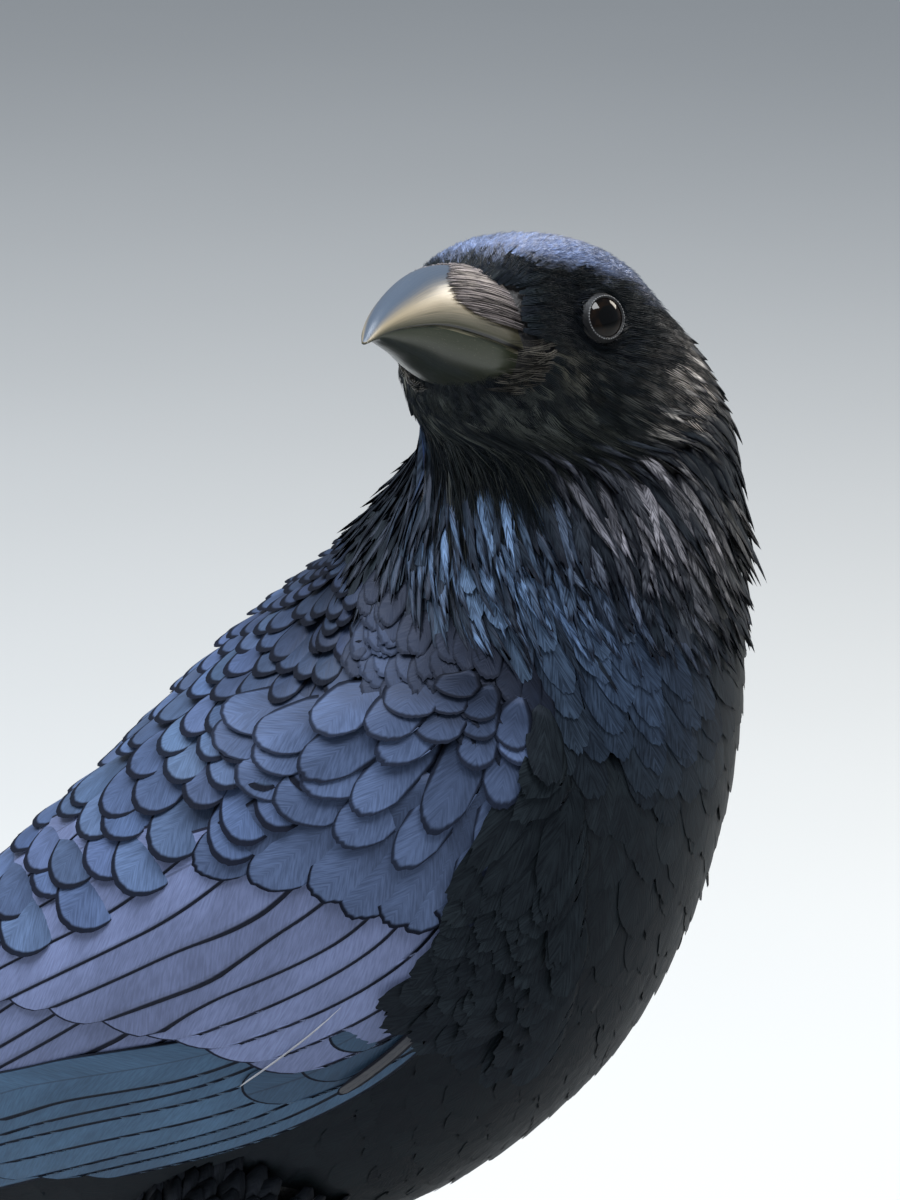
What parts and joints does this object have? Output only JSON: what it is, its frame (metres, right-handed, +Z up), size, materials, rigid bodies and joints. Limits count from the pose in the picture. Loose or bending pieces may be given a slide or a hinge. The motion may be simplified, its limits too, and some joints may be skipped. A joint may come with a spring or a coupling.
{
  "type": "carrion crow",
  "caption": "Life-size still model of a standing black crow with folded wings, its head turned to its right and its bill raised.",
  "frame": {"origin": "on the floor, under the middle of the bird's outer box", "axes": "+Z up; the body faces -Y and the tail points to +Y; +X is the bird's left side; the head is turned towards -X"},
  "size_m": [0.1264, 0.3124, 0.2899],
  "materials": {
    "head_plumage": "short black feathers, faint blue-violet gloss on the forehead and throat",
    "body_plumage": "soft black feathers, dull, with a faint brown and blue mottling",
    "wing_plumage": "slate feathers with dark fringes and a violet-blue sheen",
    "flight_feathers": "stiff slate-black vanes with a blue sheen",
    "tail_feathers": "stiff black vanes with a faint blue sheen",
    "bill_horn": "smooth dark grey horn, half gloss",
    "eye_gloss": "wet, very dark brown",
    "leg_scales": "black scaled skin, half matt",
    "claw_horn": "black horn, half gloss"
  },
  "bodies": {
    "root": {"head": "head_plumage", "neck": "head_plumage", "trunk": "body_plumage", "tail": "tail_feathers", "thigh_left": "body_plumage", "thigh_right": "body_plumage", "wing_left": "wing_plumage", "wing_right": "wing_plumage", "secondaries_left": "flight_feathers", "secondaries_right": "flight_feathers", "primaries_left": "flight_feathers", "primaries_right": "flight_feathers", "bill_upper": "bill_horn", "bill_lower": "bill_horn", "eye_left": "eye_gloss", "eye_right": "eye_gloss", "tarsus_left": "leg_scales", "tarsus_right": "leg_scales", "foot_left": "leg_scales", "foot_right": "leg_scales", "claw_left_1": "claw_horn", "claw_left_2": "claw_horn", "claw_left_3": "claw_horn", "claw_left_4": "claw_horn", "claw_right_1": "claw_horn", "claw_right_2": "claw_horn", "claw_right_3": "claw_horn", "claw_right_4": "claw_horn"}
  },
  "joints": []
}
